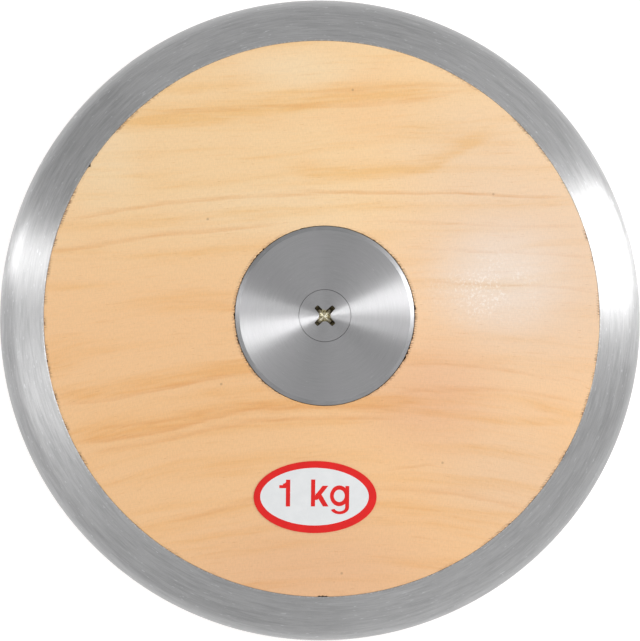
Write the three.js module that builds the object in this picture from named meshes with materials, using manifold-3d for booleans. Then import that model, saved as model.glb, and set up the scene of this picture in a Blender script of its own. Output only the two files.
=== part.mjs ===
// A throwing discus of the 1 kg class, in millimetres. +Z runs along the axis towards the
// labelled face, and the origin is the middle of the disc. A steel rim with an inner web is
// trapped between two turned wooden halves, which dowels through the web key to it. A steel
// plate closes the middle of each face, held by one countersunk screw that bites into a
// threaded sleeve, and washers under the plates trim the weight.

import * as THREE from "three";
import { mergeVertices, toCreasedNormals } from "three/addons/utils/BufferGeometryUtils.js";
import Module from "manifold-3d";

const wasm = await Module();
wasm.setup();

// Outline that the whole disc is turned to
const discRadius = 90.5;
const halfThickness = 18.7;
const noseRadius = 6; // round edge of the rim

// Fits between pieces
const woodFit = 0.25; // gap round wood that meets steel
const metalFit = 0.15; // gap between steel pieces
const film = 0.1; // glue or varnish between flat faces

// Rim
const rimBand = 12.3; // width of the steel seen on each face
const webThickness = 2;
const webLand = 1; // steel left on each side of a dowel's hole

// Dowels through the web
const dowelCount = 8;
const dowelRadius = 2;
const dowelReachShare = 0.55; // depth of the wood there that a dowel takes up

// Centre plates
const plateRadius = 25;
const plateBevel = 1.2; // ring of the plate's top that is turned to the taper
const plateThickness = 2.5;

// Plate screws, whose heads are faced off flush with the plates
const screwRadius = 4;
const headFlare = 3.2; // how far the head stands out from the shank
const screwTipGap = 9; // space between the two screws' tips
const tipChamfer = 0.8;

// Cross recess in a screw's head
const recessReach = 3.75; // from the axis to a wing's tip
const wingWidth = 1.5;
const wingDepth = 3.4;
const pointDepth = 0.9; // of the cone under the wings
const waistShare = 0.04; // pull of the flanks towards the axis, as a share of the reach
const recessFloorShare = 0.45; // size of the recess's outline at the wings' foot
const recessPointShare = 0.12; // and at the cone's foot

// Sleeve that the screws bite into
const sleeveLand = 1.1; // flat ring on its end, where a plate seats

// Trim washers under each plate
const trimCount = 2;
const trimRadius = 12;
const trimThickness = 1;

// Oval weight label on the front face
const labelWidth = 34.3;
const labelHeight = 20;
const labelThickness = 0.2;
const labelPlaceShare = 0.477; // place of its middle across the wooden ring
const labelShift = -2.4; // of its middle along X

// Fineness of the round shapes
const discSides = 96;
const smallSides = 48;
const dowelSides = 16;
const noseSteps = 8;
const flankSteps = 6;
const labelSteps = 64;
const cutOverrun = 1; // how far a cutter runs past what it cuts
const creaseAngle = Math.PI / 6;

// Sizes that follow from those above
const rimInnerRadius = discRadius - rimBand;
const webDepth = 2 * (dowelRadius + woodFit + webLand);
const webInnerRadius = rimInnerRadius - webDepth;
const flatRadius = plateRadius - plateBevel;
const noseCentre = discRadius - noseRadius;
const taperRun = noseCentre - flatRadius;
const taperAngle =
  Math.atan2(halfThickness, taperRun) -
  Math.asin(noseRadius / Math.hypot(taperRun, halfThickness));
const plateSeat = halfThickness - plateThickness; // height of a plate's underside
const headRadius = screwRadius + headFlare;
const headDepth = headFlare; // the countersink is right-angled
const countersinkDepth = Math.min(headDepth, plateThickness);
const sleeveBore = screwRadius + metalFit;
const sleeveMouth = headRadius + metalFit - countersinkDepth;
const sleeveRadius = sleeveMouth + sleeveLand;
const pocketDepth = trimCount * (trimThickness + film);
const dowelCircle = (rimInnerRadius + webInnerRadius) / 2;
const dowelHalfLength = surfaceHeight(dowelCircle) * dowelReachShare;

// Height of the turned face at a radius on the straight taper, which runs tangent to the nose.
function surfaceHeight(radius) {
  return halfThickness - (radius - flatRadius) * Math.tan(taperAngle);
}

const brightSteel = new THREE.MeshStandardMaterial({ color: 0xb4b5b7, roughness: 0.32, metalness: 1 });
const plateSteel = new THREE.MeshStandardMaterial({ color: 0xb0b2b5, roughness: 0.28, metalness: 1 });
const platedSteel = new THREE.MeshStandardMaterial({ color: 0xb3b1a6, roughness: 0.35, metalness: 1 });
const plainSteel = new THREE.MeshStandardMaterial({ color: 0x8c8d8f, roughness: 0.5, metalness: 1 });
const paleWood = new THREE.MeshStandardMaterial({ color: 0xecc597, roughness: 0.5, metalness: 0 });
const dowelWood = new THREE.MeshStandardMaterial({ color: 0xd9b07c, roughness: 0.7, metalness: 0 });
const labelFilm = new THREE.MeshStandardMaterial({ color: 0xe5e6e9, roughness: 0.35, metalness: 0 });

// Turns a geometry into a solid that can be cut and joined.
function solidOf(geometry) {
  const bare = geometry.clone();
  bare.deleteAttribute("normal");
  bare.deleteAttribute("uv");
  const merged = mergeVertices(bare);
  const vertProperties = merged.attributes.position.array;
  const triVerts = new Uint32Array(merged.index.array);
  return new wasm.Manifold(new wasm.Mesh({ numProp: 3, vertProperties, triVerts }));
}

// Makes a named mesh from a solid, with soft normals wherever its faces nearly line up.
function pieceOf(name, solid, material) {
  const { vertProperties, triVerts } = solid.getMesh();
  const geometry = new THREE.BufferGeometry();
  geometry.setAttribute("position", new THREE.BufferAttribute(vertProperties, 3));
  geometry.setIndex(new THREE.BufferAttribute(triVerts, 1));
  const piece = new THREE.Mesh(toCreasedNormals(geometry, creaseAngle), material);
  piece.name = name;
  return piece;
}

// Spins [radius, height] points about Z. They run clockwise, from the axis back to it or, for
// a shape with a hole through it, round a loop that this closes.
function turned(outline, sides) {
  const loop = outline[0][0] > 0 ? [...outline, outline[0]] : outline;
  const profile = loop
    .map(([radius, height]) => new THREE.Vector2(radius, height))
    .filter((point, i, all) => i === 0 || !point.equals(all[i - 1]));
  return solidOf(new THREE.LatheGeometry(profile, sides).rotateX(Math.PI / 2));
}

// A round bar about Z, from one height up to another.
function roundBar(radius, low, high, sides) {
  return turned([[0, low], [radius, low], [radius, high], [0, high]], sides);
}

// The same bar at each dowel's place in the web.
function atDowels(bar) {
  return Array.from({ length: dowelCount }, (_, i) => {
    const angle = (i * 2 * Math.PI) / dowelCount;
    return bar.translate([dowelCircle * Math.cos(angle), dowelCircle * Math.sin(angle), 0]);
  });
}

function rim() {
  const nose = Array.from({ length: noseSteps + 1 }, (_, i) => {
    const angle = (Math.PI / 2 - taperAngle) * ((2 * i) / noseSteps - 1);
    return [noseCentre + noseRadius * Math.cos(angle), noseRadius * Math.sin(angle)];
  });
  const band = surfaceHeight(rimInnerRadius);
  const web = webThickness / 2;
  const outline = [
    [rimInnerRadius, -band],
    ...nose,
    [rimInnerRadius, band],
    [rimInnerRadius, web],
    [webInnerRadius, web],
    [webInnerRadius, -web],
    [rimInnerRadius, -web],
  ];
  const hole = roundBar(dowelRadius + woodFit, -webThickness, webThickness, dowelSides);
  return atDowels(hole).reduce((ring, cutter) => ring.subtract(cutter), turned(outline, discSides));
}

// One turned half of the wooden body, stepped over half of the web.
function woodHalf() {
  const outer = rimInnerRadius - woodFit;
  const plateWall = plateRadius + woodFit;
  const floor = plateSeat - film;
  const pocketFloor = floor - pocketDepth;
  const pocketWall = trimRadius + woodFit;
  const bore = sleeveRadius + woodFit;
  const step = webThickness / 2 + film;
  const outline = [
    [bore, film],
    [webInnerRadius - woodFit, film],
    [webInnerRadius - woodFit, step],
    [outer, step],
    [outer, surfaceHeight(outer)],
    [plateWall, surfaceHeight(plateWall)],
    [plateWall, floor],
    [pocketWall, floor],
    [pocketWall, pocketFloor],
    [bore, pocketFloor],
  ];
  const socketDepth = dowelHalfLength + woodFit;
  const socket = roundBar(dowelRadius + woodFit, -socketDepth, socketDepth, dowelSides);
  return atDowels(socket).reduce((half, cutter) => half.subtract(cutter), turned(outline, discSides));
}

function centrePlate() {
  const hole = headRadius + metalFit;
  const outline = [
    [hole - countersinkDepth, plateSeat],
    [plateRadius, plateSeat],
    [plateRadius, surfaceHeight(plateRadius)],
    [flatRadius, halfThickness],
    [hole, halfThickness],
    [hole - countersinkDepth, halfThickness - countersinkDepth],
  ];
  return turned(outline, discSides);
}

// Outline of the cross recess: four wing tips joined by flanks that dip towards the axis.
function recessOutline() {
  const half = wingWidth / 2;
  const dip = recessReach * waistShare;
  const points = [];
  for (let quarter = 0; quarter < 4; quarter += 1) {
    const start = new THREE.Vector2(recessReach, half);
    const end = new THREE.Vector2(half, recessReach);
    const flank = new THREE.QuadraticBezierCurve(start, new THREE.Vector2(dip, dip), end);
    const turn = Math.PI / 4 + (quarter * Math.PI) / 2;
    flank.getPoints(flankSteps).forEach((point) => {
      points.push(point.rotateAround(new THREE.Vector2(), turn));
    });
  }
  return points;
}

// Cutter for the recess: the outline at full size above the head's face, shrinking to the
// wings' foot and then to a blunt point.
function recessCutter() {
  const outline = recessOutline();
  const levels = [
    [1, cutOverrun],
    [1, 0],
    [recessFloorShare, -wingDepth],
    [recessPointShare, -wingDepth - pointDepth],
  ];
  const corners = levels.flatMap(([share, height]) =>
    outline.flatMap((point) => [point.x * share, point.y * share, height]),
  );
  corners.push(0, 0, levels[0][1], 0, 0, levels[3][1]);
  const count = outline.length;
  const faces = [];
  for (let i = 0; i < count; i += 1) {
    const next = (i + 1) % count;
    levels.slice(1).forEach((_, level) => {
      const [upper, lower] = [level * count, (level + 1) * count];
      faces.push(upper + i, lower + i, upper + next, upper + next, lower + i, lower + next);
    });
    const [top, bottom, last] = [4 * count, 4 * count + 1, 3 * count];
    faces.push(top, i, next, bottom, last + next, last + i);
  }
  const geometry = new THREE.BufferGeometry();
  geometry.setAttribute("position", new THREE.Float32BufferAttribute(corners, 3));
  geometry.setIndex(faces);
  return solidOf(geometry);
}

function plateScrew() {
  const tip = screwTipGap / 2;
  const outline = [
    [0, tip],
    [screwRadius - tipChamfer, tip],
    [screwRadius, tip + tipChamfer],
    [screwRadius, halfThickness - headDepth],
    [headRadius, halfThickness],
    [0, halfThickness],
  ];
  return turned(outline, smallSides).subtract(recessCutter().translate([0, 0, halfThickness]));
}

function trimWasher(index) {
  const top = plateSeat - film - index * (trimThickness + film);
  const bottom = top - trimThickness;
  const bore = sleeveRadius + metalFit;
  return turned([[bore, bottom], [trimRadius, bottom], [trimRadius, top], [bore, top]], smallSides);
}

// Threaded sleeve that runs from plate to plate, its mouths opened for the screws' heads.
function centreSleeve() {
  const end = plateSeat - film;
  const mouthDepth = sleeveMouth - sleeveBore;
  const outline = [
    [sleeveMouth, -end],
    [sleeveRadius, -end],
    [sleeveRadius, end],
    [sleeveMouth, end],
    [sleeveBore, end - mouthDepth],
    [sleeveBore, mouthDepth - end],
  ];
  return turned(outline, smallSides);
}

// The label is an oval cut from a thin shell that lies on the front half's taper.
function weightLabel() {
  const wood = [plateRadius + woodFit, rimInnerRadius - woodFit];
  const middle = THREE.MathUtils.lerp(plateRadius, rimInnerRadius, labelPlaceShare);
  const shell = [
    [wood[0], surfaceHeight(wood[0]) + film],
    [wood[1], surfaceHeight(wood[1]) + film],
    [wood[1], surfaceHeight(wood[1]) + film + labelThickness],
    [wood[0], surfaceHeight(wood[0]) + film + labelThickness],
  ];
  const oval = new THREE.Shape();
  oval.absellipse(0, 0, labelWidth / 2, labelHeight / 2, 0, 2 * Math.PI);
  const depth = halfThickness + cutOverrun;
  const block = new THREE.ExtrudeGeometry(oval, { depth, bevelEnabled: false, curveSegments: labelSteps });
  return turned(shell, discSides).intersect(solidOf(block).translate([labelShift, -middle, 0]));
}

// The pieces that both faces of the disc have alike.
function discSide(name) {
  const side = new THREE.Group();
  side.add(pieceOf(`${name}_wood_half`, woodHalf(), paleWood));
  side.add(pieceOf(`${name}_centre_plate`, centrePlate(), plateSteel));
  side.add(pieceOf(`${name}_plate_screw`, plateScrew(), platedSteel));
  for (let i = 0; i < trimCount; i += 1) {
    side.add(pieceOf(`${name}_trim_washer_${i + 1}`, trimWasher(i), plainSteel));
  }
  return side;
}

const discus = new THREE.Group();
discus.add(pieceOf("rim", rim(), brightSteel));
const dowel = roundBar(dowelRadius, -dowelHalfLength, dowelHalfLength, dowelSides);
atDowels(dowel).forEach((solid, i) => {
  discus.add(pieceOf(`web_dowel_${i + 1}`, solid, dowelWood));
});
discus.add(pieceOf("centre_sleeve", centreSleeve(), plainSteel));
discus.add(discSide("front"));
const back = discSide("back");
back.rotation.x = Math.PI;
discus.add(back);
discus.add(pieceOf("weight_label", weightLabel(), labelFilm));

export default discus;
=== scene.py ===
import math

import bmesh
import bpy
from mathutils import Matrix, Vector, noise


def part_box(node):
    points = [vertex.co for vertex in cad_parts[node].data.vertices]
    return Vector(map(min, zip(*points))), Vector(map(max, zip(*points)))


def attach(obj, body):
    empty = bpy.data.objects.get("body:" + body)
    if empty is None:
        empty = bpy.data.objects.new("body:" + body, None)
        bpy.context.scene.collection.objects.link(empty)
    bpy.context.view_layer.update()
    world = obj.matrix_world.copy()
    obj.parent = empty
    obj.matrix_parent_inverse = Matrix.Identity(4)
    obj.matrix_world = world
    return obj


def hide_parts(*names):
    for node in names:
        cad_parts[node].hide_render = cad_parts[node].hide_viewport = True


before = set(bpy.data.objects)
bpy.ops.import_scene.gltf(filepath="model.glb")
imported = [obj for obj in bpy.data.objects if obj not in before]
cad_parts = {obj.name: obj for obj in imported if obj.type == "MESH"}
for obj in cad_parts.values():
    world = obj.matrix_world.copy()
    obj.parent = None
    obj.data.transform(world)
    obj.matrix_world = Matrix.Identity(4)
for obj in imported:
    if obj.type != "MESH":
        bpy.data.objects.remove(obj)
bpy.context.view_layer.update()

mm = 0.001
fullTurn = 2 * math.pi

# Sizes that the frame gives
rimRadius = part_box("rim")[1].x
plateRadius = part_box("front_centre_plate")[1].x
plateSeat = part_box("front_centre_plate")[0].z
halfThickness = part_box("front_centre_plate")[1].z
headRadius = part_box("front_plate_screw")[1].x
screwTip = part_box("front_plate_screw")[0].z
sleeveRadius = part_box("centre_sleeve")[1].x
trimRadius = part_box("front_trim_washer_1")[1].x
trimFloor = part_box("front_trim_washer_2")[0].z
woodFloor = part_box("front_wood_half")[0].z
dowelRadius = (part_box("web_dowel_1")[1].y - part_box("web_dowel_1")[0].y) / 2
dowelCircle = (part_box("web_dowel_1")[1].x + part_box("web_dowel_1")[0].x) / 2
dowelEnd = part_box("web_dowel_1")[1].z
labelLow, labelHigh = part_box("weight_label")

# The outline that all the visible steel and wood is turned to
discShape = {
    "noseRadius": 6 * mm,
    "plateBevel": 1.2 * mm,
    "rimBand": 12.3 * mm,
    "webThickness": 2 * mm,
    "webDepth": 6.5 * mm,
    "dowels": 8,
    "fit": 0.15 * mm,  # hidden clearances
}
flatRadius = plateRadius - discShape["plateBevel"]
noseCentre = rimRadius - discShape["noseRadius"]
seamRadius = rimRadius - discShape["rimBand"]
webRadius = seamRadius - discShape["webDepth"]
taperAngle = math.atan2(halfThickness, noseCentre - flatRadius) - math.asin(
    discShape["noseRadius"] / math.hypot(noseCentre - flatRadius, halfThickness)
)


def surfaceHeight(radius):
    return halfThickness - (radius - flatRadius) * math.tan(taperAngle)


# Camera, as the photo was taken: from above, leaning a little to the left and towards the label
cameraPlace = {
    "distance": 1.2,
    "lean": (-0.056, -0.0526),  # sideways per metre of height
    "aim": (-0.33 * mm, -0.375 * mm, 0),
    "span": 181.08 * mm,  # what the picture's height takes in at the middle of the disc
}


def facing(away, up):
    # turns an object's own Z to point away, with its Y as near to up as it goes
    side = Vector(up).cross(away).normalized()
    return Matrix((side, away.cross(side), away)).transposed().to_euler()


def makeCamera(place):
    camera = bpy.data.objects.new("camera", bpy.data.cameras.new("camera"))
    bpy.context.collection.objects.link(camera)
    away = Vector((*place["lean"], 1)).normalized()
    camera.location = Vector(place["aim"]) + away * place["distance"]
    camera.rotation_euler = facing(away, (0, 1, 0))
    camera.data.lens = camera.data.sensor_width * place["distance"] / place["span"]
    camera.data.clip_start = place["distance"] / 100
    camera.data.clip_end = place["distance"] * 100
    bpy.context.scene.camera = camera


makeCamera(cameraPlace)
print("camera set")


# Node helpers
def addNode(tree, kind, inputs=None, **settings):
    made = tree.nodes.new("ShaderNode" + kind)
    for key, value in settings.items():
        setattr(made, key, value)
    for socket, value in (inputs or {}).items():
        if isinstance(value, bpy.types.NodeSocket):
            tree.links.new(value, made.inputs[socket])
        else:
            made.inputs[socket].default_value = value
    return made


def maths(tree, operation, *values):
    made = addNode(tree, "Math", dict(enumerate(values)), operation=operation)
    return made.outputs[0]


def ramp(tree, value, low, high, toLow=0.0, toHigh=1.0):
    made = addNode(
        tree, "MapRange",
        {"Value": value, "From Min": low, "From Max": high, "To Min": toLow, "To Max": toHigh},
        interpolation_type="SMOOTHSTEP",
    )
    return made.outputs[0]


def mixColour(tree, share, first, second, blend="MIX"):
    made = addNode(tree, "Mix", data_type="RGBA", blend_type=blend)
    for socket, value in zip((made.inputs[0], made.inputs[6], made.inputs[7]), (share, first, second)):
        if isinstance(value, bpy.types.NodeSocket):
            tree.links.new(value, socket)
        elif isinstance(value, tuple):
            socket.default_value = (*value, 1)
        else:
            socket.default_value = value
    return made.outputs[2]


def noiseAt(tree, place, scale, detail=2.0, roughness=0.5):
    made = addNode(
        tree, "TexNoise", {"Vector": place, "Scale": scale, "Detail": detail, "Roughness": roughness}
    )
    return made.outputs["Fac"]


def newMaterial(name):
    material = bpy.data.materials.new(name)
    material.use_nodes = True
    tree = material.node_tree
    shader = tree.nodes["Principled BSDF"]
    position = addNode(tree, "TexCoord").outputs["Object"]
    return material, tree, shader, position


def finishShader(tree, shader, colour, roughness, height, look):
    bump = addNode(tree, "Bump", {"Height": height, "Strength": look["bump"], "Distance": look["bumpDepth"]})
    tree.links.new(colour, shader.inputs["Base Color"])
    tree.links.new(roughness, shader.inputs["Roughness"])
    tree.links.new(bump.outputs[0], shader.inputs["Normal"])


def polarPlace(tree, position):
    # radius from the axis, and the direction round it as a unit vector
    flat = addNode(tree, "VectorMath", {0: position, 1: (1, 1, 0)}, operation="MULTIPLY").outputs[0]
    radius = addNode(tree, "VectorMath", {0: flat}, operation="LENGTH").outputs["Value"]
    heading = addNode(tree, "VectorMath", {0: flat}, operation="NORMALIZE").outputs[0]
    return radius, heading


def ringPlace(tree, radius, heading, perTurn, perMetre, offset=0.0):
    # a place for noise that runs in rings: slow along the ring, fast across it
    along = addNode(tree, "VectorMath", {0: heading, "Scale": perTurn}, operation="SCALE").outputs[0]
    across = maths(tree, "MULTIPLY_ADD", radius, perMetre, offset)
    lifted = addNode(tree, "CombineXYZ", {"Z": across}).outputs[0]
    return addNode(tree, "VectorMath", {0: along, 1: lifted}, operation="ADD").outputs[0]


# Steel turned on a lathe: the tool leaves rings, so light spreads across them
def turnedSteel(name, look):
    material, tree, shader, position = newMaterial(name)
    radius, heading = polarPlace(tree, position)

    def rings(perTurn, perMetre, seed, detail=3.0):
        place = ringPlace(tree, radius, heading, perTurn, perMetre, seed)
        return noiseAt(tree, place, 1.0, detail, 0.6)

    fine = rings(look["fineTurn"], look["finePitch"], 0.0)
    broad = rings(look["broadTurn"], look["broadPitch"], 7.3)
    speckle = noiseAt(tree, position, look["speckleScale"], 2.0, 0.6)
    broad = maths(tree, "MULTIPLY", broad, 1 - look["fineShare"])
    streaks = maths(tree, "MULTIPLY_ADD", fine, look["fineShare"], broad)
    grit = maths(tree, "SUBTRACT", speckle, 0.5)
    shade = maths(tree, "MULTIPLY_ADD", grit, look["speckleShare"], ramp(tree, streaks, 0.3, 0.7))
    steel = mixColour(tree, shade, look["dark"], look["light"])
    worn = ramp(tree, noiseAt(tree, position, look["patchScale"], 3.0, 0.6), 0.35, 0.7)
    steel = mixColour(tree, maths(tree, "MULTIPLY", worn, look["patchShare"]), steel, look["patch"])
    nicks = rings(look["nickTurn"], look["nickPitch"], 31.0, 1.0)
    nicks = ramp(tree, nicks, look["nickLevel"], look["nickLevel"] + 0.05)
    steel = mixColour(tree, maths(tree, "MULTIPLY", nicks, look["nickShare"]), steel, look["nick"])
    rough = maths(tree, "MULTIPLY_ADD", shade, look["roughSpread"], look["roughness"])
    if "seamFlecks" in look:  # small bright nicks where the band meets the wood
        seam = look["seamFlecks"]
        beside = ramp(tree, radius, seamRadius + seam["reach"], seamRadius + seam["solid"])
        flecks = ramp(tree, noiseAt(tree, position, seam["scale"], 2.0), 0.5, 0.6)
        flecks = maths(tree, "MULTIPLY", maths(tree, "MULTIPLY", beside, flecks), seam["share"])
        steel = mixColour(tree, flecks, steel, look["nick"])
    spread = addNode(
        tree, "VectorTransform", {0: heading},
        vector_type="VECTOR", convert_from="OBJECT", convert_to="WORLD",
    ).outputs[0]
    relief = maths(tree, "MULTIPLY_ADD", speckle, look["speckleBump"], streaks)
    if "ringLean" in look:  # each tool mark's flank leans a little towards the middle
        relief = maths(tree, "MULTIPLY_ADD", radius, look["ringLean"], relief)
    finishShader(tree, shader, steel, rough, relief, look)
    tree.links.new(spread, shader.inputs["Tangent"])
    shader.inputs["Metallic"].default_value = 1
    shader.inputs["Anisotropic"].default_value = look["spread"]
    return material


rimLook = {
    "dark": (0.395, 0.395, 0.398), "light": (0.560, 0.560, 0.562),
    "patch": (0.500, 0.500, 0.500), "patchShare": 0.35, "patchScale": 90.0,
    "nick": (0.78, 0.79, 0.80), "nickShare": 0.5, "nickLevel": 0.69,
    "nickTurn": 34.0, "nickPitch": 2600.0,
    "seamFlecks": {"share": 0.45, "scale": 1500.0, "reach": 0.6 * mm, "solid": 0.15 * mm}, "spread": 1.0,
    "fineTurn": 13.0, "finePitch": 3000.0, "fineShare": 0.55,
    "broadTurn": 6.0, "broadPitch": 800.0,
    "speckleScale": 3200.0, "speckleShare": 0.55, "speckleBump": 0.4,
    "roughness": 0.29, "roughSpread": 0.07, "bump": 0.5, "bumpDepth": 0.05 * mm,
}
plateLook = {
    "dark": (0.395, 0.395, 0.400), "light": (0.449, 0.449, 0.454), "spread": 1.0, "ringLean": 13000.0,
    "patch": (0.435, 0.427, 0.440), "patchShare": 0.4, "patchScale": 160.0,
    "nick": (0.70, 0.70, 0.70), "nickShare": 0.4, "nickLevel": 0.74,
    "nickTurn": 9.0, "nickPitch": 3200.0,
    "fineTurn": 4.5, "finePitch": 4600.0, "fineShare": 0.75,
    "broadTurn": 2.0, "broadPitch": 1500.0,
    "speckleScale": 3000.0, "speckleShare": 0.8, "speckleBump": 0.7,
    "roughness": 0.30, "roughSpread": 0.05, "bump": 0.07, "bumpDepth": 0.04 * mm,
}
bevelLook = plateLook | {  # the bevel is rubbed smooth, so light spreads evenly on it
    "dark": (0.285, 0.288, 0.293), "light": (0.340, 0.343, 0.348), "spread": 0.3, "ringLean": 0.0,
    "roughness": 0.31,
}


# Pale flat-sawn wood. Each streak is a darker growth ring that shows on the turned face,
# drawn through a few places, [across, up] in millimetres from the middle of the disc.
frontStreaks = [
    {"width": 4.1, "depth": 1.0, "fade": 10,
     "path": [(-58, 54.5), (-40, 56.0), (-15, 58.3), (10, 61.6), (34, 63)]},
    {"width": 0.9, "depth": 0.3, "fade": 14,
     "path": [(-50, 57.0), (-30, 58.0), (-4, 59.3), (20, 60.2), (42, 65)]},
    {"width": 0.8, "depth": 0.25, "fade": 6,
     "path": [(-4, 62.6), (10, 63.8), (24, 65.2), (36, 65.6), (48, 66)]},
    {"width": 2.9, "depth": 0.85, "fade": 9,
     "path": [(-12, 40.3), (17, 40.3), (30, 42.3), (37, 46.2), (48, 52)]},
    {"width": 2.0, "depth": 0.4, "fade": 9,
     "path": [(-52, 36), (-34, 37), (-18, 38.6), (0, 40.9), (14, 40.8)]},
    {"width": 0.7, "depth": 0.65, "fade": 9,
     "path": [(-8, 34.6), (20, 34.4), (38, 34.8), (56, 33.9), (69, 34.3)]},
    {"width": 0.8, "depth": 0.5, "fade": 8,
     "path": [(-69, 27.4), (-61, 28.8), (-54, 30.0), (-40, 31.9), (0, 33.9)]},
    {"width": 0.9, "depth": 0.48, "fade": 8,
     "path": [(-77, 18.2), (-66, 19.4), (-47, 22.4), (-29, 23.8), (-13, 25.6)]},
    {"width": 2.0, "depth": 0.9, "fade": 7,
     "path": [(-74, -23.0), (-62, -22.0), (-41, -18.6), (-24, -15.3), (-15, -15.2)]},
    {"width": 0.7, "depth": 0.5, "fade": 8,
     "path": [(-73, -24.6), (-59, -23.2), (-44, -20.2), (-30, -17.4), (-20, -16.4)]},
    {"width": 3.2, "depth": 1.0, "fade": 8,
     "path": [(-70, -34.4), (-44, -30.6), (-24, -26.0), (0, -25.0), (26, -26.0)]},
    {"width": 0.9, "depth": 0.45, "fade": 9,
     "path": [(-69, -35.4), (-44, -32.0), (-24, -26.8), (0, -25.6), (20, -26.2)]},
    {"width": 0.7, "depth": 0.3, "fade": 7,
     "path": [(-62, -31.2), (-48, -29.8), (-36, -27.6), (-26, -25.4), (-12, -24)]},
    {"width": 1.8, "depth": 0.7, "fade": 9,
     "path": [(0, -25.6), (20, -25.9), (37, -27.9), (55, -29.6), (72, -29.2)]},
    {"width": 0.9, "depth": 0.35, "fade": 9,
     "path": [(-64, -38), (-44, -34.6), (-24, -30.2), (0, -28.6), (20, -28.9)]},
    {"width": 0.9, "depth": 0.35, "fade": 6,
     "path": [(-42, -57), (-34, -55.6), (-26, -53.2), (-19, -51), (-12, -49)]},
    {"width": 1.2, "depth": 0.35, "fade": 7,
     "path": [(14, -48.2), (28, -48.7), (40, -50), (50, -52), (58, -54)]},
    {"width": 0.6, "depth": 0.35, "fade": 3,
     "path": [(18, -42.8), (22, -42.3), (26, -41.8), (28, -41.5), (31, -41.4)]},
    {"width": 0.7, "depth": 0.32, "fade": 7,
     "path": [(20, -13.6), (34, -13.6), (48, -14.6), (58, -16.2), (68, -17.6)]},
    {"width": 0.8, "depth": 0.32, "fade": 7,
     "path": [(20, -21.4), (34, -20.6), (48, -20.4), (60, -21.6), (72, -23.6)]},
    {"width": 0.6, "depth": 0.3, "fade": 8,
     "path": [(16, 26.3), (34, 26), (54, 25.5), (64, 25.8), (73, 26)]},
    {"width": 0.6, "depth": 0.24, "fade": 8,
     "path": [(22, 19), (34, 18.6), (46, 18.3), (60, 18), (75, 17.4)]},
    {"width": 0.6, "depth": 0.3, "fade": 8,
     "path": [(26, 9.5), (40, 9.2), (54, 9), (65, 8.7), (77, 7)]},
]
backStreaks = [
    {"width": 2.8, "depth": 0.7, "fade": 10,
     "path": [(-60, 46), (-30, 50), (0, 53), (30, 54), (56, 52)]},
    {"width": 0.9, "depth": 0.45, "fade": 9,
     "path": [(-70, 22), (-40, 28), (-10, 33), (20, 34), (60, 31)]},
    {"width": 1.0, "depth": 0.4, "fade": 8,
     "path": [(-74, 8), (-50, 11), (-26, 13.5), (-10, 15), (0, 16)]},
    {"width": 0.8, "depth": 0.4, "fade": 8,
     "path": [(18, 4), (34, 6), (50, 6.5), (62, 5.5), (76, 3)]},
    {"width": 2.4, "depth": 0.75, "fade": 9,
     "path": [(-72, -24), (-40, -20), (-10, -19), (24, -21), (70, -28)]},
    {"width": 0.8, "depth": 0.4, "fade": 9,
     "path": [(-70, -29), (-40, -24), (-10, -22.5), (24, -25), (66, -33)]},
    {"width": 1.6, "depth": 0.5, "fade": 9,
     "path": [(-50, -52), (-26, -48), (0, -47), (26, -49), (50, -54)]},
]
# Broad changes of colour across a face, each an oval at [across, up] with its reach, in millimetres
frontSpots = [
    {"middle": (60, 14), "reach": (62, 52), "tone": "rosy", "share": 0.95},
    # the pale pink spot right of the plate is the wood's pinker tone, lightened with painted sheen from the
    # right lamp
    {"middle": (50, 11), "reach": (27, 22), "tone": "sheenBlush", "share": 0.72},
    {"middle": (42, 50), "reach": (34, 26), "tone": "rosy", "share": 0.35},
    {"middle": (-14, 29), "reach": (42, 14), "tone": "cream", "share": 0.45},
    {"middle": (-52, -31), "reach": (44, 15), "tone": "honey", "share": 0.2},
    {"middle": (-8, 70), "reach": (26, 8), "tone": "cream", "share": 0.6},
    {"middle": (-62, 44), "reach": (16, 22), "tone": "cream", "share": 0.5},
    {"middle": (16, 61), "reach": (30, 9), "tone": "honey", "share": 0.16},
    {"middle": (52, -44), "reach": (34, 26), "tone": "rosy", "share": 0.45},
    {"middle": (29, -22), "reach": (30, 24), "tone": "russet", "share": 0.5},
    {"middle": (-2, -74), "reach": (60, 30), "tone": "russet", "share": 0.45},
]
backSpots = [
    {"middle": (-40, 24), "reach": (44, 30), "tone": "rosy", "share": 0.6},
    {"middle": (38, -30), "reach": (44, 20), "tone": "honey", "share": 0.6},
]
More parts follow.
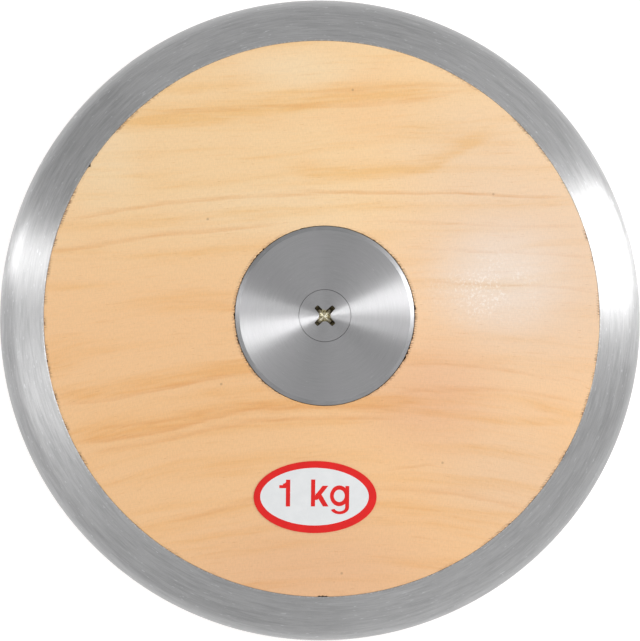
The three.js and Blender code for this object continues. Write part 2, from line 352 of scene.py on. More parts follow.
woodLook = {
    "pale": (0.855, 0.592, 0.322), "warm": (0.848, 0.522, 0.262), "cream": (0.850, 0.660, 0.420),
    # the blush tone: the wood's pink, lightened with painted sheen from the right lamp
    "rosy": (0.726, 0.519, 0.354), "sheenBlush": (0.757, 0.644, 0.550), "honey": (0.825, 0.460, 0.180),
    "russet": (0.70, 0.39, 0.235), "stain": (0.29, 0.16, 0.085),
    # these darken what lies under them
    "band": (0.950, 0.840, 0.650), "line": (0.860, 0.680, 0.500), "pore": (0.700, 0.520, 0.380),
    "bandFrom": 1.5,  # streaks this wide or wider are bands, the others lines
    "fieldWidth": 170.0,  # what the streaks' curves span, across and up
    "climb": -0.055, "arch": 0.0019, "archMiddle": 8.0, "sway": 4.0, "wobble": 1.5,
    # grain: changes a millimetre along it and across it, and where its noise starts
    "figure": (0.018, 0.22, 3.0), "threads": (0.09, 1.1, 11.0), "fibres": (0.3, 3.6, 41.0),
    "pores": (0.42, 5.0, 23.0), "cloud": (0.035, 0.06, 31.0), "flecks": (2.6, 0.9, 53.0),
    "speckScale": 18.0, "speckSize": (0.009, 0.003), "speckShare": 0.45,
    # painted glints: pale specks over the sheen right of the plate
    "paintedGlint": (0.93, 0.88, 0.84), "paintedGlintShare": 0.5, "paintedGlintScale": 1300.0, "paintedGlintPatch": 110.0,
    "paintedGlintSpot": {"middle": (46, 8), "reach": (23, 15), "share": 1},
    "torn": [
        {"edge": plateRadius, "reach": 1.2 * mm, "spared": 0.8},
        {"edge": seamRadius, "reach": 1.1 * mm, "spared": 0.1},
    ],
    "tornSolid": 0.15 * mm,
    "roughness": 0.42, "roughSpread": 0.16, "coat": 0.1, "coatRoughness": 0.32,
    "bump": 0.3, "bumpDepth": 0.06 * mm,
}


def streakShade(tree, streak, across, up, look):
    # how dark one streak makes the wood here: sharp on its lower side, soft on its upper one
    field = look["fieldWidth"]
    curve = addNode(tree, "FloatCurve", {"Value": maths(tree, "MULTIPLY_ADD", across, 1 / field, 0.5)})
    line = curve.mapping.curves[0]
    places = [(x / field + 0.5, y / field + 0.5) for x, y in streak["path"]]
    line.points[0].location, line.points[1].location = places[0], places[-1]
    for place in places[1:-1]:
        line.points.new(*place)
    curve.mapping.update()
    height = maths(tree, "MULTIPLY_ADD", curve.outputs[0], field, -field / 2)
    apart = maths(tree, "SUBTRACT", up, height)
    width = streak["width"]
    above = ramp(tree, apart, width * 1.7, 0.0)
    below = ramp(tree, apart, -width * 0.8, 0.0)
    start, end = streak["path"][0][0], streak["path"][-1][0]
    opens = ramp(tree, across, start - streak["fade"] / 2, start + streak["fade"])
    closes = ramp(tree, across, end + streak["fade"] / 2, end - streak["fade"])
    band = maths(tree, "MULTIPLY", above, below)
    reach = maths(tree, "MULTIPLY", opens, closes)
    return maths(tree, "MULTIPLY", maths(tree, "MULTIPLY", band, reach), streak["depth"])


def spotShare(tree, spot, across, up):
    # how much of a spot's colour shows here
    squares = 0.0
    for place, middle, reach in zip((across, up), spot["middle"], spot["reach"]):
        apart = maths(tree, "MULTIPLY_ADD", place, 1 / reach, -middle / reach)
        squares = maths(tree, "MULTIPLY_ADD", apart, apart, squares)
    return ramp(tree, maths(tree, "SQRT", squares), 1.0, 0.1, 0.0, spot["share"])


def turnedWood(name, streaks, spots, side):
    look = woodLook
    material, tree, shader, position = newMaterial(name)
    split = addNode(tree, "SeparateXYZ", {0: position})
    across = maths(tree, "MULTIPLY", split.outputs["X"], 1 / mm)
    up = maths(tree, "MULTIPLY", split.outputs["Y"], side / mm)

    def grain(alongScale, acrossScale, seed, detail=2.0, height=None):
        place = addNode(tree, "CombineXYZ", {
            "X": maths(tree, "MULTIPLY", across, alongScale),
            "Y": maths(tree, "MULTIPLY", up if height is None else height, acrossScale),
            "Z": seed + side,
        }).outputs[0]
        return noiseAt(tree, place, 1.0, detail)

    # the grain climbs to the right above the middle, arches below it, and wanders a little
    aside = maths(tree, "SUBTRACT", across, look["archMiddle"])
    arch = maths(tree, "MULTIPLY", maths(tree, "POWER", aside, 2.0), look["arch"])
    climb = maths(tree, "MULTIPLY", across, look["climb"])
    turnOver = maths(tree, "SUBTRACT", arch, climb)
    bend = maths(tree, "MULTIPLY_ADD", ramp(tree, up, 20.0, -40.0), turnOver, climb)
    sway = maths(tree, "MULTIPLY_ADD", grain(0.025, 0.06, 5.0), look["sway"], -look["sway"] / 2)
    flow = maths(tree, "ADD", maths(tree, "ADD", up, bend), sway)
    wobble = maths(tree, "MULTIPLY_ADD", grain(0.09, 0.7, 17.0), look["wobble"], -look["wobble"] / 2)
    line = maths(tree, "ADD", up, wobble)

    figure = grain(*look["figure"], 2.0, flow)
    threads = grain(*look["threads"], 3.0, flow)
    fibres = grain(*look["fibres"], 2.0, flow)
    pores = grain(*look["pores"], 1.0, flow)
    cloud = grain(*look["cloud"], 2.0)
    flecks = grain(*look["flecks"], 1.0)
    wood = mixColour(tree, ramp(tree, up, 40.0, -5.0), look["pale"], look["warm"])
    wood = mixColour(tree, ramp(tree, cloud, 0.45, 0.75, 0.0, 0.35), wood, look["warm"])
    for spot in spots:
        wood = mixColour(tree, spotShare(tree, spot, across, up), wood, look[spot["tone"]])
    shades = {"band": 0.0, "line": 0.0}
    for streak in streaks:
        kind = "band" if streak["width"] >= look["bandFrom"] else "line"
        shade = streakShade(tree, streak, across, line, look)
        shades[kind] = maths(tree, "MAXIMUM", shades[kind], shade)
    uneven = ramp(tree, threads, 0.3, 0.7, 0.6, 1.1)
    shades["band"] = maths(tree, "MULTIPLY_ADD", ramp(tree, figure, 0.45, 0.75), 0.7, shades["band"])
    shades["line"] = maths(tree, "MULTIPLY_ADD", ramp(tree, threads, 0.55, 0.85), 0.3, shades["line"])
    for kind, shade in shades.items():
        wood = mixColour(tree, maths(tree, "MULTIPLY", shade, uneven), wood, look[kind], "MULTIPLY")
    wood = mixColour(tree, ramp(tree, fibres, 0.55, 0.85, 0.0, 0.3), wood, look["line"], "MULTIPLY")
    wood = mixColour(tree, ramp(tree, pores, 0.68, 0.8, 0.0, 0.55), wood, look["pore"], "MULTIPLY")
    light = ramp(tree, maths(tree, "ADD", fibres, flecks), 0.75, 1.25, 0.965, 1.03)
    wood = addNode(tree, "VectorMath", {0: wood, "Scale": light}, operation="SCALE").outputs[0]
    speck = addNode(
        tree, "TexVoronoi", {"Vector": position, "Scale": look["speckScale"]}, voronoi_dimensions="2D"
    ).outputs["Distance"]
    speck = ramp(tree, speck, *look["speckSize"], 0.0, look["speckShare"])
    wood = mixColour(tree, speck, wood, look["stain"])
    if side > 0:  # painted glints: pale specks in a patch right of the plate, where the right lamp's sheen falls
        glint = noiseAt(tree, position, look["paintedGlintScale"], 3.0, 0.7)
        glint = ramp(tree, glint, 0.5, 0.66, 0.0, look["paintedGlintShare"])
        patchy = ramp(tree, noiseAt(tree, position, look["paintedGlintPatch"]), 0.35, 0.6, 0.15, 1.0)
        glint = maths(tree, "MULTIPLY", glint, patchy)
        glint = maths(tree, "MULTIPLY", glint, spotShare(tree, look["paintedGlintSpot"], across, up))
        wood = mixColour(tree, glint, wood, look["paintedGlint"])

    # torn fibres and dirt where the wood meets the steel, most where the edge crosses the grain
    radius, heading = polarPlace(tree, position)
    sideways = maths(tree, "ABSOLUTE", addNode(tree, "SeparateXYZ", {0: heading}).outputs["X"])
    torn = ramp(tree, grain(0.8, 3.6, 61.0, 3.0), 0.42, 0.56)
    torn = maths(tree, "MULTIPLY", torn, ramp(tree, sideways, 0.2, 0.9, 0.12, 1.0))
    patches = grain(0.09, 0.14, 71.0, 1.0)
    for place in look["torn"]:
        apart = maths(tree, "ABSOLUTE", maths(tree, "SUBTRACT", radius, place["edge"]))
        near = ramp(tree, apart, place["reach"], look["tornSolid"])
        dirty = maths(tree, "MULTIPLY", torn, ramp(tree, patches, 0.45, 0.6, place["spared"], 1.0))
        wood = mixColour(tree, maths(tree, "MULTIPLY", near, dirty), wood, look["stain"])

    rough = maths(tree, "MULTIPLY_ADD", ramp(tree, flecks, 0.3, 0.7), look["roughSpread"], look["roughness"])
    relief = maths(tree, "MULTIPLY_ADD", flecks, 0.6, fibres)
    relief = maths(tree, "MULTIPLY_ADD", pores, -0.5, relief)
    finishShader(tree, shader, wood, rough, relief, look)
    shader.inputs["Coat Weight"].default_value = look["coat"]
    shader.inputs["Coat Roughness"].default_value = look["coatRoughness"]
    return material


# Yellow zinc, bright in the middle of the recess, with painted shade darkening it out in its arms
zincLook = {
    "bright": ((0.62, 0.55, 0.36), (1.0, 0.97, 0.80)), "shadedZinc": ((0.07, 0.06, 0.04), (0.24, 0.21, 0.14)),
    "armShadeReach": (0.9 * mm, 2.0 * mm), "stainScale": 1300.0, "roughness": (0.38, 0.24),
    "bumpScale": 900.0, "bump": 0.5, "bumpDepth": 0.15 * mm,
}


def zincPlate(name, look):
    material, tree, shader, position = newMaterial(name)
    stain = noiseAt(tree, position, look["stainScale"], 3.0)
    shade = ramp(tree, stain, 0.35, 0.65)
    # painted shade: the zinc gets darker with distance from the middle, out along the recess arms
    armShade = ramp(tree, polarPlace(tree, position)[0], *look["armShadeReach"])
    bright = mixColour(tree, shade, *look["bright"])
    tint = mixColour(tree, armShade, bright, mixColour(tree, shade, *look["shadedZinc"]))
    rough = ramp(tree, stain, 0.3, 0.7, *look["roughness"])
    finishShader(tree, shader, tint, rough, noiseAt(tree, position, look["bumpScale"]), look)
    shader.inputs["Metallic"].default_value = 1
    return material


# Drawn steel and dowel wood, both with fine lines along the axis
tubeLook = {
    "shades": ((0.30, 0.30, 0.31), (0.42, 0.42, 0.43)), "scale": 400.0, "roughness": (0.32, 0.55),
    "lineScale": 3000.0, "lineStretch": 0.05, "bump": 0.3, "bumpDepth": 0.03 * mm,
}
beechLook = {
    "shades": ((0.55, 0.34, 0.18), (0.70, 0.48, 0.28)), "roughness": (0.7, 0.7),
    "lineScale": 2600.0, "lineStretch": 0.06, "bump": 0.4, "bumpDepth": 0.05 * mm,
}


def axisLines(tree, position, look, detail):
    place = addNode(tree, "Mapping", {"Vector": position, "Scale": (1, 1, look["lineStretch"])}).outputs[0]
    return noiseAt(tree, place, look["lineScale"], detail)


def drawnSteel(name, look):
    material, tree, shader, position = newMaterial(name)
    scale = noiseAt(tree, position, look["scale"], 4.0, 0.6)
    tint = mixColour(tree, ramp(tree, scale, 0.3, 0.7), *look["shades"])
    rough = ramp(tree, scale, 0.2, 0.8, *look["roughness"])
    finishShader(tree, shader, tint, rough, axisLines(tree, position, look, 2.0), look)
    shader.inputs["Metallic"].default_value = 1
    return material


def dowelBeech(name, look):
    material, tree, shader, position = newMaterial(name)
    fibres = axisLines(tree, position, look, 3.0)
    tint = mixColour(tree, ramp(tree, fibres, 0.3, 0.7), *look["shades"])
    rough = ramp(tree, fibres, 0.3, 0.7, *look["roughness"])
    finishShader(tree, shader, tint, rough, fibres, look)
    return material


# Label film, and the red ink printed on it
paperLook = {
    "shades": ((0.775, 0.787, 0.790), (0.735, 0.750, 0.755)), "gloss": 0.5, "mottleScale": 350.0,
    "roughness": (0.30, 0.42), "bumpScale": 2200.0, "bump": 0.08, "bumpDepth": 0.02 * mm,
}
inkLook = paperLook | {"shades": ((0.76, 0.011, 0.009), (0.69, 0.008, 0.007)), "gloss": 0.33}


def labelFilm(name, look):
    material, tree, shader, position = newMaterial(name)
    mottle = noiseAt(tree, position, look["mottleScale"], 3.0, 0.6)
    tint = mixColour(tree, ramp(tree, mottle, 0.3, 0.7), *look["shades"])
    rough = ramp(tree, mottle, 0.25, 0.75, *look["roughness"])
    finishShader(tree, shader, tint, rough, noiseAt(tree, position, look["bumpScale"], 2.0), look)
    shader.inputs["Specular IOR Level"].default_value = look["gloss"]
    return material


rimSteel = turnedSteel("turned_rim_steel", rimLook)
plateSteel = turnedSteel("faced_plate_steel", plateLook)
bevelSteel = turnedSteel("rubbed_bevel_steel", bevelLook)
screwSteel = turnedSteel("faced_screw_steel", plateLook)
yellowZinc = zincPlate("yellow_zinc", zincLook)
frontWood = turnedWood("front_pale_wood", frontStreaks, frontSpots, 1.0)
backWood = turnedWood("back_pale_wood", backStreaks, backSpots, -1.0)
innerSteel = drawnSteel("drawn_steel", tubeLook)
beech = dowelBeech("dowel_beech", beechLook)
labelPaper = labelFilm("label_film", paperLook)
labelInk = labelFilm("label_red_ink", inkLook)
print("materials made")


# Mesh helpers
def drawLine(bm, start, corners):
    # carries a wire on from a vertex through [radius, height] corners, and returns the new vertices
    line = [start]
    for radius, height in corners:
        vert = bm.verts.new((radius, 0, height))
        bm.edges.new((line[-1], vert))
        line.append(vert)
    return line[1:]


def soften(bm, corners, size, segments=3):
    bmesh.ops.bevel(
        bm, geom=corners, affect="VERTICES", offset=size, offset_type="OFFSET",
        segments=segments, profile=0.5, material=-1,
    )


def turnWire(bm, segments, sectors=16):
    # turns one sector, doubles it till the ring is whole, and closes it
    bmesh.ops.spin(
        bm, geom=bm.verts[:] + bm.edges[:], cent=(0, 0, 0), axis=(0, 0, 1),
        angle=fullTurn / sectors, steps=segments // sectors,
    )
    turned = 1
    while turned < sectors:
        made = bmesh.ops.duplicate(bm, geom=bm.verts[:] + bm.edges[:] + bm.faces[:])["geom"]
        verts = [item for item in made if isinstance(item, bmesh.types.BMVert)]
        turn = Matrix.Rotation(fullTurn * turned / sectors, 3, "Z")
        bmesh.ops.rotate(bm, verts=verts, cent=(0, 0, 0), matrix=turn)
        turned *= 2
    bmesh.ops.remove_doubles(bm, verts=bm.verts[:], dist=0.001 * mm)
    bmesh.ops.recalc_face_normals(bm, faces=bm.faces[:])


def finishPiece(bm, name, materials, node, creaseAngle=35):
    mesh = bpy.data.meshes.new(name)
    bm.to_mesh(mesh)
    bm.free()
    mesh.shade_smooth()
    mesh.set_sharp_from_angle(angle=math.radians(creaseAngle))
    piece = bpy.data.objects.new(name, mesh)
    bpy.context.collection.objects.link(piece)
    for material in materials:
        mesh.materials.append(material)
    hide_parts(node)
    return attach(piece, "root")


def cutAway(piece, cutter, creaseAngle=35):
    # takes the cutter's shape out of the piece for good
    cut = piece.modifiers.new("cut", "BOOLEAN")
    cut.operation, cut.solver, cut.object = "DIFFERENCE", "EXACT", cutter
    shaped = bpy.data.meshes.new_from_object(piece.evaluated_get(bpy.context.evaluated_depsgraph_get()))
    piece.modifiers.clear()
    shaped.name = piece.name
    shaped.shade_smooth()
    shaped.set_sharp_from_angle(angle=math.radians(creaseAngle))
    piece.data = shaped
    bpy.data.objects.remove(cutter)


def cutterFrom(bm, name):
    mesh = bpy.data.meshes.new(name)
    bm.to_mesh(mesh)
    bm.free()
    cutter = bpy.data.objects.new(name, mesh)
    bpy.context.collection.objects.link(cutter)
    return cutter


def dowelCutter(reach):
    bm = bmesh.new()
    radius = dowelRadius + discShape["fit"]
    for i in range(discShape["dowels"]):
        turn = Matrix.Rotation(fullTurn * i / discShape["dowels"], 4, "Z")
        bmesh.ops.create_cone(
            bm, cap_ends=True, segments=24, radius1=radius, radius2=radius, depth=2 * reach,
            matrix=turn @ Matrix.Translation((dowelCircle, 0, 0)),
        )
    return cutterFrom(bm, "dowel_cutter")


def flipOver(bm):
    bmesh.ops.transform(bm, verts=bm.verts[:], matrix=Matrix.Diagonal((1, -1, -1, 1)))


# Steel rim: band, round nose and inner web
rimBuild = {"segments": 720, "noseSteps": 28, "edgeSoftness": 0.1 * mm, "edgeGuard": 0.5 * mm}


def makeRim():
    bm = bmesh.new()
    sweep = math.pi - 2 * taperAngle
    lowTangent = Matrix.Rotation(-sweep / 2, 3, (0, -1, 0)) @ Vector((discShape["noseRadius"], 0, 0))
    start = bm.verts.new(lowTangent + Vector((noseCentre, 0, 0)))
    bmesh.ops.spin(
        bm, geom=[start], cent=(noseCentre, 0, 0), axis=(0, -1, 0),
        angle=sweep, steps=rimBuild["noseSteps"],
    )
    bm.verts.ensure_lookup_table()
    top = max(bm.verts, key=lambda v: v.co.z)
    web = discShape["webThickness"] / 2
    guard = seamRadius + rimBuild["edgeGuard"]
    line = drawLine(bm, top, [
        (guard, surfaceHeight(guard)), (seamRadius, surfaceHeight(seamRadius)), (seamRadius, web),
        (webRadius, web), (webRadius, -web), (seamRadius, -web),
        (seamRadius, -surfaceHeight(seamRadius)), (guard, -surfaceHeight(guard)),
    ])
    bm.edges.new((line[-1], start))
    soften(bm, [line[1], line[6]], rimBuild["edgeSoftness"])
    turnWire(bm, rimBuild["segments"])
    piece = finishPiece(bm, "steel_rim", [rimSteel], "rim")
    cutAway(piece, dowelCutter(discShape["webThickness"]))


makeRim()
print("rim made")


# Wooden halves, with the edges that the tool frayed
woodBuild = {
    "segments": 1440, "rimGap": 0.03 * mm, "plateGap": 0.12 * mm, "edgeSoftness": 0.12 * mm,
    "edgeGuard": 0.6 * mm, "plateFray": 0.85 * mm, "rimFray": 0.6 * mm, "frayReach": 0.4 * mm,
    "frayPerMetre": 1500.0, "plateFrayed": 0.75, "rimFrayed": 0.15,
    "patchLength": 6,  # frayed patches are this many times longer than a single bite
    "alongGrain": 0.06,  # what is left of the fray where the edge runs along the grain
    "fraySink": 0.35,  # how far a frayed edge drops for each part it goes back
    # dents at the rim, each with its direction in degrees and its depth
    "nicks": ((147, 0.5 * mm), (269.3, 0.35 * mm), (270, 0.4 * mm), (270.7, 0.3 * mm)),
    "nickWidth": 0.6 * mm,
}


def fray(bm, radius, depth, frayed, build, nicks=()):
    # bites into the top edge at a radius, most where the edge crosses the grain
    outwards = 1 if depth > 0 else -1
    for vert in bm.verts:
        own = math.hypot(vert.co.x, vert.co.y)
        near = 1 - abs(own - radius) / build["frayReach"]
        if near <= 0 or vert.co.z < surfaceHeight(radius) - build["frayReach"]:
            continue
        heading = Vector((vert.co.x, vert.co.y, 0)) / own
        place = heading * radius * build["frayPerMetre"]
        patchy = max(0.0, frayed + noise.noise(place / build["patchLength"]))
        crossing = build["alongGrain"] + (1 - build["alongGrain"]) * heading.x ** 2
        bite = max(0.0, noise.noise(place) + 0.5 * noise.noise(place * 2.7) - 0.03)
        bite = min(bite * patchy * crossing * abs(depth), build["frayReach"])
        for angle, size in nicks:
            turn = Matrix.Rotation(math.radians(angle), 3, "Z") @ Vector((1, 0, 0))
            apart = (heading - turn).length * radius / build["nickWidth"]
            bite += size * max(0.0, 1 - apart)
        vert.co += heading * bite * near * outwards
        vert.co.z -= bite * near * build["fraySink"]


def makeWood(name, node, material, over):
    build = woodBuild
    bm = bmesh.new()
    outer = seamRadius - build["rimGap"]
    wall = plateRadius + build["plateGap"]
    bore = sleeveRadius + discShape["fit"]
    pocket = trimRadius + discShape["fit"]
    seat = plateSeat - woodFloor
    pocketFloor = trimFloor - woodFloor
    step = discShape["webThickness"] / 2 + woodFloor
    webClear = webRadius - discShape["fit"]
    guards = [
        outer - build["edgeGuard"], outer - 2 * build["edgeGuard"],
        wall + 2 * build["edgeGuard"], wall + build["edgeGuard"],
    ]
    start = bm.verts.new((bore, 0, woodFloor))
    line = drawLine(bm, start, [
        (webClear, woodFloor), (webClear, step), (outer, step),
        *((radius, surfaceHeight(radius)) for radius in (outer, *guards, wall)),
        (wall, seat), (pocket, seat), (pocket, pocketFloor), (bore, pocketFloor),
    ])
    bm.edges.new((line[-1], start))
    soften(bm, [line[3], line[8]], build["edgeSoftness"])
    turnWire(bm, build["segments"])
    fray(bm, outer, -build["rimFray"], build["rimFrayed"], build, () if over else build["nicks"])
    fray(bm, wall, build["plateFray"], build["plateFrayed"], build)
    if over:
        flipOver(bm)
    piece = finishPiece(bm, name, [material], node)
    cutAway(piece, dowelCutter(dowelEnd + discShape["fit"]))


makeWood("front_wood", "front_wood_half", frontWood, False)
makeWood("back_wood", "back_wood_half", backWood, True)
print("wood made")


# Centre plates
plateBuild = {
    "segments": 720, "bevelDrop": 0.42 * mm, "holeGap": 0.16 * mm, "edgeSoftness": 0.08 * mm,
    "creaseAngle": 8,  # low, so that the bevel keeps a crisp edge
}


def makePlate(name, node, over):
    bm = bmesh.new()
    hole = headRadius + plateBuild["holeGap"]
    seatHole = hole - (halfThickness - plateSeat)
    start = bm.verts.new((seatHole, 0, plateSeat))
    line = drawLine(bm, start, [
        (plateRadius, plateSeat), (plateRadius, halfThickness - plateBuild["bevelDrop"]),
        (flatRadius, halfThickness), (hole, halfThickness),
    ])
    bm.edges.new((line[-1], start))
    soften(bm, [line[1], line[2]], plateBuild["edgeSoftness"])
    turnWire(bm, plateBuild["segments"])
    for face in bm.faces:
        middle = face.calc_center_median()
        outside = math.hypot(middle.x, middle.y) > flatRadius
        face.material_index = 1 if outside and middle.z > plateSeat else 0
    if over:
        flipOver(bm)
    finishPiece(bm, name, [plateSteel, bevelSteel], node, plateBuild["creaseAngle"])


makePlate("front_plate", "front_centre_plate", False)
makePlate("back_plate", "back_centre_plate", True)
print("plates made")


# Plate screws with a cross recess
screwBuild = {
    "segments": 192, "shankRadius": 4 * mm, "tipChamfer": 0.8 * mm, "facedDepth": 0.01 * mm,
    "wingReach": 3.55 * mm, "wingWidth": 1.3 * mm, "wingDepth": 3.0 * mm, "pointDepth": 0.45 * mm,
    "waist": 1.15 * mm, "flankRound": 1.1 * mm, "flankSegments": 8,
    "tipSoftness": 0.3 * mm, "tipSegments": 3,
    "floorShare": 0.66, "pointShare": 0.12,  # the cross's size at the floor and at the point
    "overrun": 1 * mm,  # how far the cutter stands out of the head
}


def recessCutter(build):
    # a cross drawn through its tips and waists, pulled down to a blunt point
    bm = bmesh.new()
    reach, half = build["wingReach"], build["wingWidth"] / 2
    waist = Matrix.Rotation(math.pi / 4, 3, "Z") @ Vector((build["waist"], 0, 0))
    tips, waists, corners = [], [], []
    for quarter in range(4):
        turn = Matrix.Rotation(math.pi / 4 + quarter * math.pi / 2, 3, "Z")
        wing = [bm.verts.new(turn @ Vector(place)) for place in ((reach, -half, 0), (reach, half, 0), waist)]
        tips += wing[:2]
        waists += wing[2:]
        corners += wing
    bm.faces.new(corners)
    soften(bm, waists, build["flankRound"], build["flankSegments"])
    soften(bm, tips, build["tipSoftness"], build["tipSegments"])
    bm.faces.ensure_lookup_table()
    face = bm.faces[0]
    bmesh.ops.translate(bm, verts=face.verts[:], vec=(0, 0, halfThickness + build["overrun"]))
    depths = (
        (-build["overrun"], 1.0), (-build["wingDepth"], build["floorShare"]),
        (-build["pointDepth"], build["pointShare"] / build["floorShare"]),
    )
    for drop, share in depths:
        inner = [face] if len(bm.faces) > 1 else []  # would be left as a wall inside
        made = bmesh.ops.extrude_face_region(bm, geom=[face])
        face = next(item for item in made["geom"] if isinstance(item, bmesh.types.BMFace))
        bmesh.ops.delete(bm, geom=inner, context="FACES_ONLY")
        bmesh.ops.translate(bm, verts=face.verts[:], vec=(0, 0, drop))
        bmesh.ops.scale(bm, verts=face.verts[:], vec=(share, share, 1))
    bmesh.ops.recalc_face_normals(bm, faces=bm.faces[:])
    return bm


def makeScrew(name, node, over):
    build = screwBuild
    bm = bmesh.new()
    flare = headRadius - build["shankRadius"]
    start = bm.verts.new((0, 0, screwTip))
    drawLine(bm, start, [
        (build["shankRadius"] - build["tipChamfer"], screwTip),
        (build["shankRadius"], screwTip + build["tipChamfer"]),
        (build["shankRadius"], halfThickness - flare), (headRadius, halfThickness), (0, halfThickness),
    ])
    turnWire(bm, build["segments"])
    bmesh.ops.dissolve_limit(bm, angle_limit=math.radians(0.1), verts=bm.verts[:], edges=bm.edges[:])
    cutter = recessCutter(build)
    if over:
        flipOver(bm)
        flipOver(cutter)
    piece = finishPiece(bm, name, [screwSteel, yellowZinc], node, 20)
    cutAway(piece, cutterFrom(cutter, "recess_cutter"))
    for face in piece.data.polygons:  # the turned-off face is bare, the rest keeps its plating
        face.material_index = 0 if abs(face.center.z) > halfThickness - build["facedDepth"] else 1


makeScrew("front_screw", "front_plate_screw", False)
makeScrew("back_screw", "back_plate_screw", True)
print("screws made")


# Oval label that follows the turned face, with a printed border and weight mark
labelBuild = {
    "segments": 160, "borderWidth": 2.0 * mm, "borderShift": (-0.18 * mm, 0.12 * mm),
    "rings": 8, "ringInset": 0.01 * mm,  # rings inside the border, so that the film can bend
    "film": 0.1 * mm, "inkThickness": 0.02 * mm, "inkSink": 0.02 * mm, "arcSteps": 24,
}
# The weight mark's strokes, in millimetres from the label's middle.
# A slab runs between two middles of its level ends; an arc goes round an oval, in degrees.
markStrokes = [
    {"slab": ((-7.60, -2.60), (-7.60, 4.85)), "width": 1.2},
    {"slab": ((-9.12, 2.48), (-9.12, 3.32)), "width": 1.86},
    {"arc": (-9.1, 4.84), "size": (1.9, 1.95), "turn": (-88, 0), "width": 0.8},
    {"slab": ((-0.62, -2.60), (-0.62, 4.9)), "width": 1.16},
    {"slab": ((-0.24, -0.8), (2.80, 3.15)), "width": 1.6},
    {"slab": ((2.95, -2.60), (0.76, 1.0)), "width": 1.56},
    {"arc": (6.7, 0.36), "size": (2.6, 2.9), "turn": (0, 360), "width": 1.06},
    {"slab": ((8.92, -2.9), (8.92, 3.1)), "width": 1.1},
    {"arc": (6.84, -2.85), "size": (2.63, 1.9), "turn": (-160, 0), "width": 1.1},
]
labelMiddle = (labelLow + labelHigh) / 2
labelHalf = (labelHigh - labelLow) / 2


def layOnTaper(bm, lift):
    # drops a flat shape on the turned face, keeping each vertex's own height above it
    for vert in bm.verts:
        vert.co.z += surfaceHeight(math.hypot(vert.co.x, vert.co.y)) + lift


def drawStroke(bm, stroke, thickness, steps):
    width = stroke["width"] * mm
    if "slab" in stroke:
        low, high = (Vector(end) * mm for end in stroke["slab"])
        middle, lean = (low + high) / 2, high - low
        shear = Matrix((
            (width, lean.x, 0, middle.x), (0, lean.y, 0, middle.y), (0, 0, 1, 0), (0, 0, 0, 1),
        ))
        flat = bmesh.ops.create_grid(bm, x_segments=1, y_segments=1, size=0.5, matrix=shear)["verts"]
        faces = list({face for vert in flat for face in vert.link_faces})
    else:
        middle = Vector((*stroke["arc"], 0)) * mm
        outer = Vector((*stroke["size"], 0)) * mm
        start, end = (math.radians(angle) for angle in stroke["turn"])
        verts = [bm.verts.new((radius, 0, 0)) for radius in (outer.x - width, outer.x)]
        edge = bm.edges.new(verts)
        bmesh.ops.rotate(bm, verts=verts, cent=(0, 0, 0), matrix=Matrix.Rotation(start, 3, "Z"))
        before = set(bm.faces)
        bmesh.ops.spin(
            bm, geom=verts + [edge], cent=(0, 0, 0), axis=(0, 0, 1), angle=end - start,
            steps=steps, use_merge=end - start > fullTurn - 0.01,
        )
        faces = [face for face in bm.faces if face not in before]
        ring = list({vert for face in faces for vert in face.verts})
        bmesh.ops.scale(bm, verts=ring, vec=(1, outer.y / outer.x, 1))
        bmesh.ops.translate(bm, verts=ring, vec=middle)
    made = bmesh.ops.extrude_face_region(bm, geom=faces)["geom"]
    lifted = [item for item in made if isinstance(item, bmesh.types.BMVert)]
    bmesh.ops.translate(bm, verts=lifted, vec=(0, 0, thickness))


def makeMark(build):
    # joins the strokes into one shape by keeping what lies in a large block
    strokes = bmesh.new()
    for stroke in markStrokes:
        drawStroke(strokes, stroke, build["inkSink"] + build["inkThickness"], build["arcSteps"])
    bmesh.ops.recalc_face_normals(strokes, faces=strokes.faces[:])
    mark = cutterFrom(strokes, "mark_strokes")
    block = bmesh.new()
    bmesh.ops.create_cube(block, size=1.0)
    blockPiece = cutterFrom(block, "mark_block")
    join = mark.modifiers.new("join", "BOOLEAN")
    join.operation, join.solver, join.object, join.use_self = "INTERSECT", "EXACT", blockPiece, True
    joined = bpy.data.meshes.new_from_object(mark.evaluated_get(bpy.context.evaluated_depsgraph_get()))
    bpy.data.objects.remove(mark)
    bpy.data.objects.remove(blockPiece)
    return joined


def makeLabel():
    build = labelBuild
    bm = bmesh.new()
    bmesh.ops.create_circle(bm, cap_ends=True, segments=build["segments"], radius=1.0)
    bmesh.ops.scale(bm, verts=bm.verts[:], vec=(labelHalf.x, labelHalf.y, 1))
    bm.faces.ensure_lookup_table()
    middle = bm.faces[0]
    border = bmesh.ops.inset_individual(
        bm, faces=[middle], thickness=build["borderWidth"], use_even_offset=True
    )["faces"]
    bmesh.ops.translate(bm, verts=middle.verts[:], vec=(*build["borderShift"], 0))
    for face in border:
        face.material_index = 1
    inner = middle.calc_center_median()
    for ring in range(build["rings"]):
        share = 1 - 1 / (build["rings"] - ring + 0.5)
        bmesh.ops.inset_individual(bm, faces=[middle], thickness=build["ringInset"])
        space = Matrix.Translation(-inner)
        bmesh.ops.scale(bm, verts=middle.verts[:], vec=(share, share, 1), space=space)
    made = bmesh.ops.extrude_face_region(bm, geom=bm.faces[:])
    lifted = [item for item in made["geom"] if isinstance(item, bmesh.types.BMVert)]
    bmesh.ops.translate(bm, verts=lifted, vec=(0, 0, build["film"]))
    bmesh.ops.recalc_face_normals(bm, faces=bm.faces[:])
    plain = set(bm.faces)
    bm.from_mesh(makeMark(build))
    mark = [face for face in bm.faces if face not in plain]
    for face in mark:
        face.material_index = 1
    inked = list({vert for face in mark for vert in face.verts})
    bmesh.ops.translate(bm, verts=inked, vec=(0, 0, build["film"] - build["inkSink"]))
    bmesh.ops.translate(bm, verts=bm.verts[:], vec=(labelMiddle.x, labelMiddle.y, 0))
    layOnTaper(bm, build["film"])
    finishPiece(bm, "label_oval", [labelPaper, labelInk], "weight_label")


makeLabel()
print("label made")

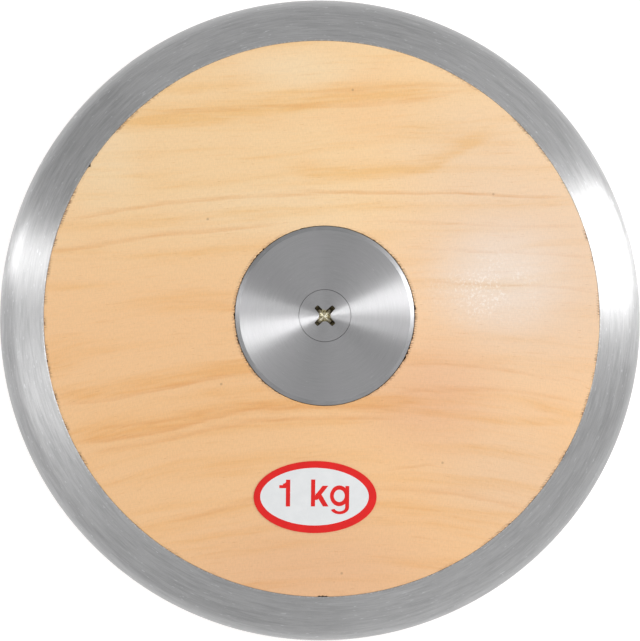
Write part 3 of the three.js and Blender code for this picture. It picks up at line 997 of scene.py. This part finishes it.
# Inner pieces keep their solids and get a finish
innerFinish = {"web_dowel": beech, "centre_sleeve": innerSteel, "trim_washer": innerSteel}
for name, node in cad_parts.items():
    for part, material in innerFinish.items():
        if part in name:
            node.data.materials.clear()
            node.data.materials.append(material)
print("inner pieces finished")

# Studio: pale floor, grey surround and soft boxes
studio = {
    "surround": (0.65, 0.65, 0.654),
    # A dimmer upright strip of the room, which the rim mirrors. Each pair says where it ends and
    # where it is full: in degrees to its sides, as the cosine of the elevation up and down.
    "strip": {"azimuth": 139, "side": (19, 6), "top": (0.28, 0.58), "foot": (0.97, 0.80), "share": 0.5},
    "floorSize": 6.0, "floorGap": 0.05 * mm, "floorColour": (0.6, 0.6, 0.6), "floorGlow": 0.62,
    "floorRoughness": 0.9,
    "boxes": [
        {"name": "right_box", "azimuth": 17, "elevation": 44,
         "distance": 1.3, "size": (0.32, 0.9), "power": 6.9},
        {"name": "left_box", "azimuth": 164, "elevation": 48,
         "distance": 1.3, "size": (0.17, 0.7), "power": 1.15},
        {"name": "left_low_box", "azimuth": 164, "elevation": 22,
         "distance": 1.3, "size": (0.17, 0.4), "power": 1.15},
        {"name": "left_high_box", "azimuth": 189, "elevation": 66,
         "distance": 1.3, "size": (0.13, 0.3), "power": 0.2},
        {"name": "high_box", "azimuth": 180, "elevation": 80,
         "distance": 1.3, "size": (0.34, 0.2), "power": 0.38},
        {"name": "right_low_box", "azimuth": 5, "elevation": 12,
         "distance": 1.3, "size": (0.4, 0.3), "power": 0.5},
        {"name": "near_box", "azimuth": 310, "elevation": 34,
         "distance": 1.4, "size": (1.4, 0.35), "power": 1.05},
        {"name": "near_high_box", "azimuth": 306, "elevation": 66,
         "distance": 1.4, "size": (0.6, 0.3), "power": 0.15},
        {"name": "far_box", "azimuth": 50, "elevation": 46,
         "distance": 1.4, "size": (0.4, 0.5), "power": 0.25},
    ],
}


def makeSurround():
    world = bpy.data.worlds.new("surround")
    world.use_nodes = True
    tree = world.node_tree
    strip = studio["strip"]
    middle = Matrix.Rotation(math.radians(strip["azimuth"]), 3, "Z") @ Vector((1, 0, 0))
    sides = (math.cos(math.radians(angle)) for angle in strip["side"])
    level, heading = polarPlace(tree, addNode(tree, "TexCoord").outputs["Generated"])
    near = addNode(tree, "VectorMath", {0: heading, 1: middle}, operation="DOT_PRODUCT").outputs["Value"]
    share = ramp(tree, near, *sides, 0.0, strip["share"])
    for end in (strip["top"], strip["foot"]):
        share = maths(tree, "MULTIPLY", share, ramp(tree, level, *end))
    colour = mixColour(tree, share, studio["surround"], (0.0, 0.0, 0.0))
    tree.links.new(colour, tree.nodes["Background"].inputs["Color"])
    bpy.context.scene.world = world


def makeStudio():
    makeSurround()
    bpy.context.scene.view_settings.view_transform = "Standard"
    bm = bmesh.new()
    bmesh.ops.create_grid(bm, x_segments=1, y_segments=1, size=studio["floorSize"] / 2)
    mesh = bpy.data.meshes.new("floor")
    bm.to_mesh(mesh)
    bm.free()
    floor = bpy.data.objects.new("floor", mesh)
    floor.location.z = -halfThickness - studio["floorGap"]
    bpy.context.collection.objects.link(floor)
    material, _, shader, _ = newMaterial("pale_floor")
    shader.inputs["Base Color"].default_value = (*studio["floorColour"], 1)
    shader.inputs["Roughness"].default_value = studio["floorRoughness"]
    shader.inputs["Emission Color"].default_value = (1, 1, 1, 1)
    shader.inputs["Emission Strength"].default_value = studio["floorGlow"]
    mesh.materials.append(material)
    for box in studio["boxes"]:
        light = bpy.data.lights.new(box["name"], "AREA")
        light.shape = "RECTANGLE"
        light.size, light.size_y = box["size"]
        light.energy = box["power"]
        lamp = bpy.data.objects.new(box["name"], light)
        bpy.context.collection.objects.link(lamp)
        azimuth, elevation = math.radians(box["azimuth"]), math.radians(box["elevation"])
        level = math.cos(elevation)
        away = Vector((math.cos(azimuth) * level, math.sin(azimuth) * level, math.sin(elevation)))
        lamp.location = away * box["distance"]
        lamp.rotation_euler = facing(away, (0, 0, 1))


makeStudio()
print("studio lit")
